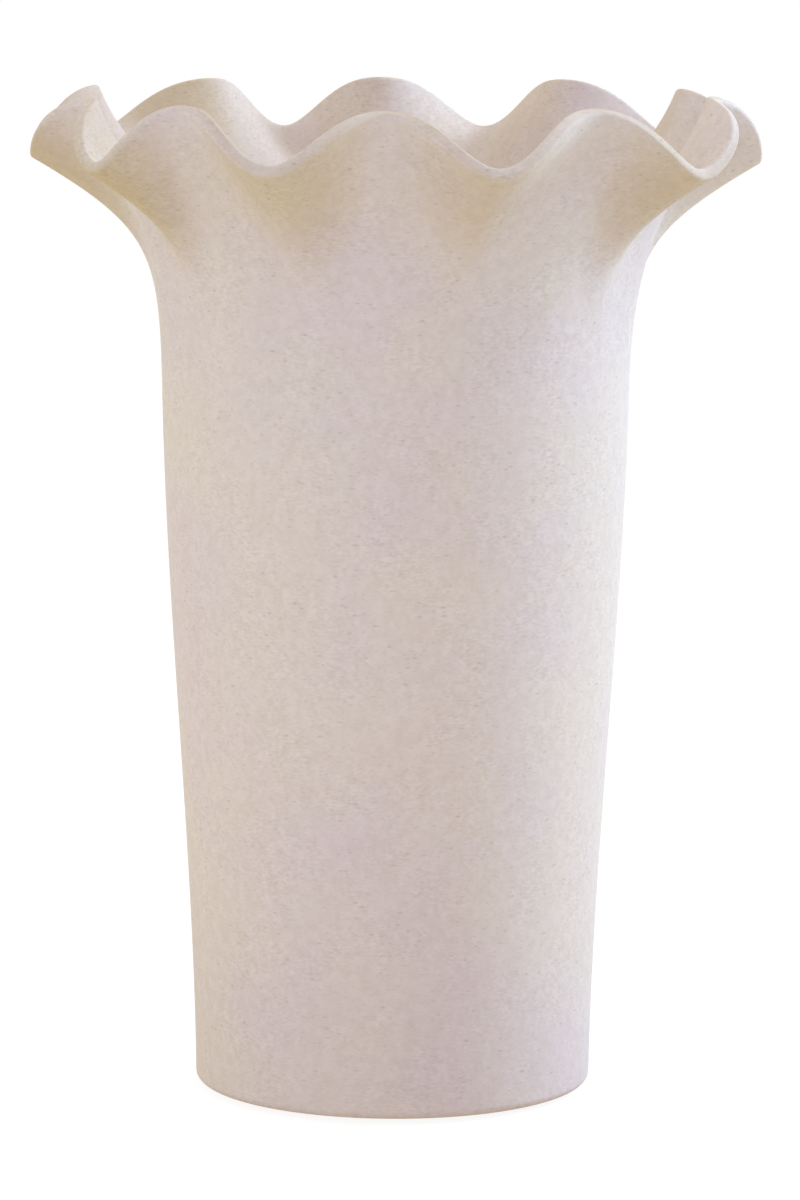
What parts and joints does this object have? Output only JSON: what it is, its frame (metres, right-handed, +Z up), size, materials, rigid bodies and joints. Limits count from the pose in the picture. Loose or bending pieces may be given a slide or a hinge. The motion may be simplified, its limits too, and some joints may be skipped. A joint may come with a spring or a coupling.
{
  "type": "fluted vase",
  "caption": "Tall matt stoneware vase with a slightly tapered round body and a flared rim pressed into soft flutes.",
  "frame": {"origin": "centre of the foot, on the table plane under the felt pads", "axes": "+Z up along the vase's axis, -Y towards the front of the pictured view, +X to its right"},
  "size_m": [0.2581, 0.256, 0.3555],
  "materials": {
    "stoneware": "matt, finely speckled, unglazed sandy stoneware",
    "glaze": "thin clear waterproof glaze, glossy",
    "felt": "pressed felt"
  },
  "bodies": {
    "root": {"base_section": "stoneware", "body_wall": "stoneware", "fluted_collar": "stoneware", "inner_glaze": "glaze", "foot_pad_1": "felt", "foot_pad_2": "felt", "foot_pad_3": "felt", "foot_pad_4": "felt"}
  },
  "joints": []
}
